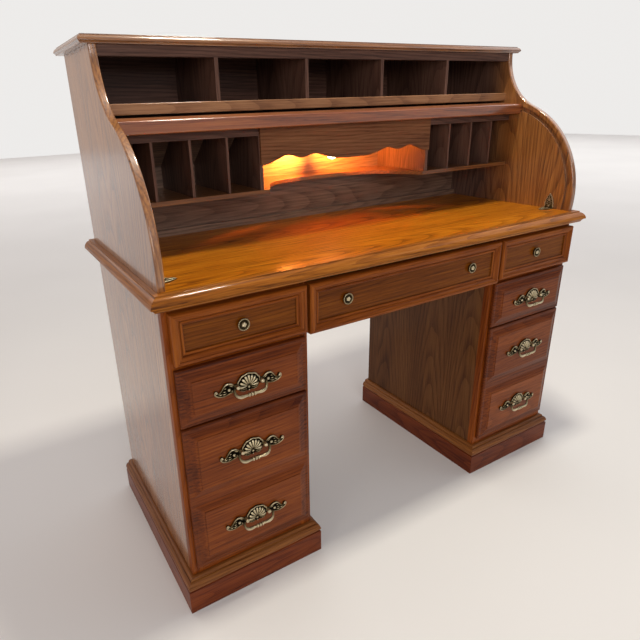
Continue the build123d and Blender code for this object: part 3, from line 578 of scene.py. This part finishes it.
class Casting:
    """Points and faces in millimetres: x to the right, y out of the drawer front, z up."""

    def __init__(self):
        self.points = []
        self.faces = []

    def tube(self, rings):
        """Joins equal rings of points into a tube with closed ends."""
        start, sides = len(self.points), len(rings[0])
        for ring in rings:
            self.points.extend(ring)
        for i in range(len(rings) - 1):
            for j in range(sides):
                a, b = start + i * sides + j, start + i * sides + (j + 1) % sides
                self.faces.append((a, b, b + sides, a + sides))
        self.faces.append(tuple(start + j for j in reversed(range(sides))))
        self.faces.append(tuple(start + (len(rings) - 1) * sides + j for j in range(sides)))

    def rod(self, path, radii, flat=1.0, sides=10, steps=4):
        """A tapering rod along a smooth path, its section flattened towards the front."""
        path, radii = smooth(path, radii, steps)
        rings = []
        for i, point in enumerate(path):
            before, after = path[max(i - 1, 0)], path[min(i + 1, len(path) - 1)]
            run = (after - before).normalized()
            out = Vector((0, 1, 0))
            if abs(run.y) > STEEP:
                out = Vector((0, 0, 1))
            out = (out - run * out.dot(run)).normalized()
            side = run.cross(out)
            rings.append([
                point + radii[i] * (side * math.cos(turn) + out * math.sin(turn) * flat)
                for turn in (2 * math.pi * k / sides for k in range(sides))])
        self.tube(rings)

    def plate(self, outline, low, high):
        """A flat plate between two heights, chamfered round its front."""
        middle = sum((Vector(p) for p in outline), Vector((0, 0))) / len(outline)
        width, depth = PLATE_CHAMFER
        shrunk = [Vector(p) + (middle - Vector(p)).normalized() * width for p in outline]
        levels = ((outline, low), (outline, high - depth), (shrunk, high))
        self.tube([[Vector((p[0], level, p[1])) for p in points] for points, level in levels])

    def turned(self, centre, profile, sides=24, ripple=None):
        """A turned shape: pairs of radius and height, about the axis that points out."""
        rings = []
        for radius, height in profile:
            ring = []
            for k in range(sides):
                turn = 2 * math.pi * k / sides
                wave = ripple(radius, turn) if ripple else 0.0
                reach = max(radius + wave, TIP_RADIUS)
                x = centre[0] + reach * math.cos(turn)
                z = centre[1] + reach * math.sin(turn)
                ring.append(Vector((x, height + wave, z)))
            rings.append(ring)
        self.tube(rings)

    def mirrored(self, draw):
        """Draws something on the right and again on the left."""
        draw(self)
        first_point, first_face = len(self.points), len(self.faces)
        draw(self)
        self.points[first_point:] = [Vector((-p.x, p.y, p.z)) for p in self.points[first_point:]]
        self.faces[first_face:] = [tuple(reversed(face)) for face in self.faces[first_face:]]


def cast_mesh(name, draw, deepest, proudest):
    """The mesh of a casting, in brass that gets paler between two heights in metres."""
    casting = Casting()
    draw(casting)
    mesh = bpy.data.meshes.new(name)
    mesh.from_pydata([(p.x * MM, -p.y * MM, p.z * MM) for p in casting.points], [], casting.faces)
    mesh.polygons.foreach_set("use_smooth", [len(face) == 4 for face in casting.faces])
    mesh.materials.append(antique_brass("antique_brass_" + name, deepest, proudest))
    mesh.update()
    return mesh


# ---- The pulls' backplate -------------------------------------------------------------
# Castings are in millimetres. An outline is x and z, a path is x, y and z, and a profile is radius
# and height.
PLATE = 1.8
FAN_RIBS = 9
FAN_HALF = 25.0
FAN_TOP = 21.0
FAN_LEVEL = 1.0
FAN_START, FAN_SWEEP = -4, 188          # degrees
RIM_STEPS = 72
RIM_WAVE = 1.3
FAN_FOOT = (
    (-27, -5), (-23, -12), (-15, -17.6), (-7, -16.8), (0, -18.6),
    (7, -16.8), (15, -17.6), (23, -12), (27, -5),
)
RIB_START, RIB_SWEEP = 4, 172           # degrees
RIB_REACH = (21.6, 25.0)
RIB_ROOT = -6.5
RIB_CROWN = ((0.10, 3.0), (0.35, 4.8), (0.6, 6.2), (0.82, 6.0), (0.95, 4.2), (1.0, 2.2))
WING_OUTLINE = (
    (31, -9), (40, -12), (48, -14), (56, -15.4), (64, -14.4), (71, -12), (76, -7.4),
    (77, -2.4), (75, 1), (71, 1), (69, -2), (68, -6), (64, -5), (60, 1), (55, 8),
    (50, 11.4), (44, 11.4), (38, 8), (33, 2.4), (29, 0.4), (27, -5),
)
WING_CREST = (
    (29, 2.6, -2), (32.5, 3.2, 2.6), (38, 3.8, 7.6), (44, 4.2, 10.6), (50, 4.0, 10.6),
    (55, 3.6, 7.2), (59.5, 3.2, 1.4), (64, 3.0, -4.2), (68, 3.0, -5.6), (70.6, 3.2, -3.6),
)
WING_KEEL = (
    (30, 2.6, -7.6), (36, 3.2, -10), (42, 3.2, -11.4), (49, 3.2, -13.2), (56, 3.2, -14.2),
    (64, 3.4, -13.2), (71, 3.6, -10.4), (75.4, 3.8, -6), (76, 4.0, -1.6), (74.2, 4.2, 0.8),
    (71.4, 4.2, 0.2),
)
WING_VEINS = (
    ((34, -1), (39, 4.4), (46, 6.6)), ((40, -4), (38, -7.4), (42, -9)),
    ((50, 1), (53.4, 2.6), (55.4, -0.6)), ((50, -4.4), (55, -4.2), (60, -3.6)),
    ((48, -8), (55, -9.4), (63, -9.4)), ((58, -6.6), (64, -8.4), (70, -7.4)),
)
POST_PROFILE = (
    (5.4, 1.5), (5.4, 2.8), (4.4, 3.8), (3.4, 4.6), (3.2, 7.4), (3.8, 8.6), (4.3, 10.0),
    (4.4, 11.6), (4.0, 13.2), (2.9, 14.2), (1.5, 14.6), (0.0, 14.7),
)


def draw_wing(cast):
    """A leafy scroll with a curled tip, a bead in its middle and the bail's post."""
    cast.plate(WING_OUTLINE, 0.0, PLATE)
    cast.rod(WING_CREST, [1.0, 1.5, 1.9, 1.9, 1.7, 1.5, 1.5, 1.4, 1.1], flat=0.9)
    cast.rod(WING_KEEL, [0.9, 1.4, 1.2, 1.5, 1.7, 1.7, 1.6, 1.5, 1.2], flat=0.9)
    cast.turned((72.4, -2.2), ((2.9, 1.0), (3.0, 3.0), (2.6, 4.6), (1.5, 5.8), (0.0, 6.2)), sides=12)
    cast.turned((45, -2.6), ((3.4, 1.0), (3.5, 4.0), (2.9, 5.8), (1.6, 6.9), (0.0, 7.2)), sides=14)
    for root, middle, tip in WING_VEINS:
        path = [(root[0], 2.2, root[1]), (middle[0], 4.2, middle[1]), (tip[0], 2.4, tip[1])]
        cast.rod(path, [0.6, 1.5, 0.5], flat=0.9, sides=8)
    cast.turned((28, 0), POST_PROFILE)


def draw_fan(cast):
    """A scallop shell: a wavy raised rim, and domed ribs that spread from its foot."""
    rim = []
    for k in range(RIM_STEPS + 1):
        turn = math.radians(FAN_START + FAN_SWEEP * k / RIM_STEPS)
        swept = (turn - math.radians(FAN_START)) * (FAN_RIBS + 1) / math.radians(FAN_SWEEP)
        wave = RIM_WAVE * abs(math.sin(swept * math.pi / 2))
        rim.append(((FAN_HALF + wave) * math.cos(turn), FAN_LEVEL + (FAN_TOP + wave) * math.sin(turn)))
    cast.plate([*rim, *FAN_FOOT], 0.0, PLATE)
    cast.rod([(x * 0.97, 4.2, z * 0.97) for x, z in rim[::2]], [1.5], flat=0.9, sides=8, steps=2)
    for k in range(FAN_RIBS):
        turn = math.radians(RIB_START + RIB_SWEEP * k / (FAN_RIBS - 1))
        path = [(RIB_REACH[0] * part * math.cos(turn), out, RIB_ROOT + RIB_REACH[1] * part * math.sin(turn))
                for part, out in RIB_CROWN]
        cast.rod(path, [0.6, 1.3, 2.0, 2.7, 2.6, 1.2], flat=0.75)
    for sign in (-1, 1):
        scroll = [(23, 2.6, -3), (20, 3.4, -8.4), (13, 3.6, -11.6), (6, 3.8, -10.8)]
        cast.rod([(sign * x, y, z) for x, y, z in scroll], [0.8, 1.4, 1.5, 1.0], flat=0.9)
        hook = [(24, 2.4, -8), (19, 3.2, -13.6), (12, 3.4, -16), (5, 3.2, -14.6)]
        cast.rod([(sign * x, y, z) for x, y, z in hook], [0.6, 1.3, 1.3, 0.7], flat=0.9)
    for place, size in (((0, -8.5), 3.4), ((0, -15.4), 1.8), ((-17, -11), 1.4), ((17, -11), 1.4)):
        bead = ((size, 1.0), (size, 3.0), (size * 0.85, 4.4), (size * 0.5, 5.4), (0.0, 5.8))
        cast.turned(place, bead, sides=14)


def draw_pull(cast):
    draw_fan(cast)
    cast.mirrored(draw_wing)


# ---- The bails ------------------------------------------------------------------------
DROP, LEAN = 20.0, 5.5
BAIL_PATH = (
    (25, 0, 0), (31, 0, 0), (35.2, 0, -0.8), (36.6, 1.0, -5), (35.8, 2.6, -10.5), (33.2, 4.2, -15.5),
    (28.6, LEAN - 0.2, -DROP + 1.2), (22, LEAN, -DROP - 0.3), (12, LEAN, -DROP), (0, LEAN, -DROP),
)
BAIL_RADII = [1.9, 1.9, 2.3, 2.9, 2.7, 2.8, 3.4, 3.6, 2.7, 2.3]
RING_PITCH = 6.4
RING_SIDES = 14
RING_SECTION = ((-2.1, 2.2), (-1.9, 3.4), (-0.9, 4.3), (0.9, 4.3), (1.9, 3.4), (2.1, 2.2))


def draw_bail(cast):
    """A swelling rod bent down from its two pins, with three rings round its grip."""
    other_half = [(-x, y, z) for x, y, z in BAIL_PATH[-2::-1]]
    cast.rod([*BAIL_PATH, *other_half], BAIL_RADII + BAIL_RADII[-2::-1], sides=12)
    turns = [2 * math.pi * k / RING_SIDES for k in range(RING_SIDES)]
    for centre in (-RING_PITCH, 0.0, RING_PITCH):
        cast.tube([
            [Vector((centre + shift, LEAN + radius * math.cos(turn), -DROP + radius * math.sin(turn)))
             for turn in turns]
            for shift, radius in RING_SECTION])


# ---- The knobs and the corner brackets ------------------------------------------------
KNOB_PROFILE = (
    (9.0, 0.0), (9.0, 1.5), (7.0, 2.4), (7.0, 3.4), (12.0, 4.3), (12.9, 5.2), (13.0, 6.4), (12.4, 7.4),
    (11.4, 7.5), (10.6, 6.6), (9.8, 5.4), (7.8, 4.9), (6.4, 5.2), (5.4, 6.6), (4.6, 8.2), (3.4, 9.0),
    (1.6, 8.6), (0.0, 8.4),
)
KNOB_RIM = 11
KNOB_BUTTON = (2, 6)
LEAF_HALF = (
    (13, 0), (14, 6), (12.4, 11), (13.6, 16), (11.4, 21), (11.6, 26), (8.4, 30), (7.6, 35), (4.4, 38.5),
)
LEAF_OUTLINE = (*LEAF_HALF, (0, 44), *[(-x, z) for x, z in LEAF_HALF[::-1]])


def knob_ripple(radius, turn):
    """A beaded rim, and a five-lobed button."""
    if radius > KNOB_RIM:
        return 0.25 * math.cos(20 * turn)
    return 0.45 * math.cos(5 * turn) if KNOB_BUTTON[0] < radius < KNOB_BUTTON[1] else 0.0


def draw_knob(cast):
    cast.turned((0, 0), KNOB_PROFILE, sides=80, ripple=knob_ripple)


def draw_leaf(cast):
    """A lobed leaf with a raised rim, a midrib, veins and two screw heads."""
    cast.plate(LEAF_OUTLINE, 0.2, 1.6)
    rim = [(x * 0.94, 2.0, 0.8 + z * 0.95) for x, z in LEAF_OUTLINE]
    cast.rod(rim, [1.2], flat=0.8, sides=8, steps=3)
    cast.rod([(0, 2.0, 20), (0, 2.8, 28), (0, 2.0, 41)], [0.7, 1.2, 0.6], sides=8)
    for level in (15, 21, 27, 32):
        for sign in (-1, 1):
            vein = [(sign * 1.5, 1.8, level - 5), (sign * 5, 2.6, level - 2), (sign * 8.5, 1.8, level)]
            cast.rod(vein, [0.5, 1.0, 0.4], sides=8)
    for level in (7, 24):
        cast.turned((0, level), ((3.2, 1.4), (3.2, 2.2), (2.2, 3.0), (0.9, 3.2), (0.0, 2.9)), sides=16)


# ---- Brass in its place ---------------------------------------------------------------
PIN = 2 * MM                            # how far a bail's axis is inside its node's box


def place_piece(name, mesh, where, body, node, turn=None):
    piece = put_object(name, mesh, where, turn)
    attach(piece, body)
    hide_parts(node)


pull_mesh = cast_mesh("pull", draw_pull, 0.0018, 0.0058)
bail_mesh = cast_mesh("bail", draw_bail, -0.002, 0.0085)
knob_mesh = cast_mesh("knob", draw_knob, 0.0036, 0.0083)
leaf_mesh = cast_mesh("leaf", draw_leaf, 0.0004, 0.0026)

low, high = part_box("corner_brackets")
for x, sign, side in ((low.x, -1, "left"), (high.x, 1, "right")):
    out_x, up = Vector((-sign, 0, 0)), Vector((0, 0, 1))
    corner = Vector((x, (low.y + high.y) / 2, low.z))
    for part, out, run in (("foot", up, out_x), ("leg", out_x, up)):
        turn = Matrix((run.cross(out), -out, run)).transposed().to_quaternion()
        place_piece(f"{side}_bracket_{part}", leaf_mesh, corner, "root", "corner_brackets", turn)

PLATE_NODES = (("second", "second", "pull_plate"), ("deep_upper", "deep", "pull_plates"),
               ("deep_lower", "deep", "pull_plates"))
face_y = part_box("left_second_pull_plate")[1].y
for hand in HANDS:
    for level, row, plates in PLATE_NODES:
        bail_node = f"{hand}_{level}_bail"
        low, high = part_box(bail_node)
        pivot = Vector(((low.x + high.x) / 2, high.y - PIN, high.z - PIN))
        seat = Vector((pivot.x, face_y, pivot.z))
        place_piece(f"{hand}_{level}_cast_plate", pull_mesh, seat,
                    f"{hand}_{row}_drawer", f"{hand}_{row}_{plates}")
        place_piece(f"{hand}_{level}_cast_bail", bail_mesh, pivot, f"{hand}_{level}_handle", bail_node)
    low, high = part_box(f"{hand}_knob")
    seat = Vector(((low.x + high.x) / 2, high.y, (low.z + high.z) / 2))
    place_piece(f"{hand}_turned_knob", knob_mesh, seat, f"{hand}_top_drawer", f"{hand}_knob")

low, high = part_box("centre_knobs")
knob_half = (high.z - low.z) / 2
for x, side in ((low.x + knob_half, "left"), (high.x - knob_half, "right")):
    seat = Vector((x, high.y, low.z + knob_half))
    place_piece(f"centre_{side}_turned_knob", knob_mesh, seat, "centre_drawer", "centre_knobs")


# ---- Floor ----------------------------------------------------------------------------
FLOOR_HALF = 15.0


def pale_floor():
    net = new_material("pale_floor")
    stops = ((0.3, (0.78, 0.775, 0.76)), (0.7, (0.82, 0.815, 0.80)))
    net.shade(Base_Color=net.ramp(net.noise(net.object_place(), 0.8), stops), Roughness=0.6)
    return net.owner


floor_mesh = bpy.data.meshes.new("floor")
corners = [(x * FLOOR_HALF, y * FLOOR_HALF, 0) for x, y in ((-1, -1), (1, -1), (1, 1), (-1, 1))]
floor_mesh.from_pydata(corners, [], [(0, 1, 2, 3)])
floor_mesh.materials.append(pale_floor())
floor = put_object("floor", floor_mesh)


# ---- Light ----------------------------------------------------------------------------
SKY_BRIGHT = (0.66, 0.54, 0.47, 1)
SKY_DIM = (0.22, 0.22, 0.24, 1)
SKY_SEEN = (0.85, 0.835, 0.82, 1)
SKY_SIDE = (-0.72, 0.66, 0.10)          # towards the bright side of the room
SKY_FADE = (-0.1, 0.8)
LIGHTS = (
    # name, place, target, size, watts, colour
    ("ceiling", (0.15, -0.22, 2.7), (0.15, -0.1, 0.76), (0.3, 0.22), 32, (1.0, 0.93, 0.80)),
    ("front_fill", (-0.7, -2.4, 1.55), (0, 0, 0.8), (1.2, 0.8), 18, (1.0, 0.97, 0.96)),
    ("left_fill", (-2.9, -1.6, 1.5), (0, 0, 0.6), (0.6, 0.9), 6, (1.0, 0.94, 0.86)),
    ("floor_wash_left", (-2.0, 10.0, 5.0), (-2.0, 10.0, 0), (18.0, 9.0), 560, (1.0, 1.0, 1.0)),
    ("floor_wash_right", (10.0, 3.0, 5.0), (10.0, 3.0, 0), (10.0, 20.0), 760, (1.0, 1.0, 1.0)),
)
GLOW_SIZE = (0.04, 0.03)
GLOW_COLOUR = (1.0, 0.30, 0.04)
GLOW_SPREAD = math.radians(140)
GLOW_START = (0.03, 0.03, 0.0)          # from the bulb's middle, on its right
GLOW_AIM = (0.15, 0.15, 0.03)
GLOW_POWERS = ((-1, 3.3), (1, 2.9))     # left and right

world = bpy.data.worlds.new("studio")
bpy.context.scene.world = world
net = Net(world, "Background")
heading = net.add("ShaderNodeTexCoord").outputs["Generated"]
bright_side = Vector(SKY_SIDE).normalized()
towards = net.add("ShaderNodeVectorMath", {0: heading, 1: bright_side}, operation="DOT_PRODUCT")
fade = net.add("ShaderNodeMapRange", {0: towards.outputs["Value"], 1: SKY_FADE[0], 2: SKY_FADE[1]})
sky = net.mix(fade.outputs[0], SKY_DIM, SKY_BRIGHT, "RGBA")
camera_ray = net.add("ShaderNodeLightPath").outputs["Is Camera Ray"]
net.shade(Color=net.mix(camera_ray, sky, SKY_SEEN, "RGBA"), Strength=1.0)


def add_light(name, place, target, size, power, colour, spread=math.pi):
    data = bpy.data.lights.new(name, "AREA")
    data.shape = "RECTANGLE"
    data.size, data.size_y = size
    data.energy = power
    data.color = colour
    data.spread = spread
    put_object(name, data, place, facing(Vector(target) - Vector(place)))


for light in LIGHTS:
    add_light(*light)

low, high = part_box("lamp_bulb")
bulb_middle = (low + high) / 2
for side, power in GLOW_POWERS:
    start, target = [bulb_middle + Vector((side * x, y, z)) for x, y, z in (GLOW_START, GLOW_AIM)]
    add_light(f"bulb_glow_{side}", start, target, GLOW_SIZE, power, GLOW_COLOUR, GLOW_SPREAD)
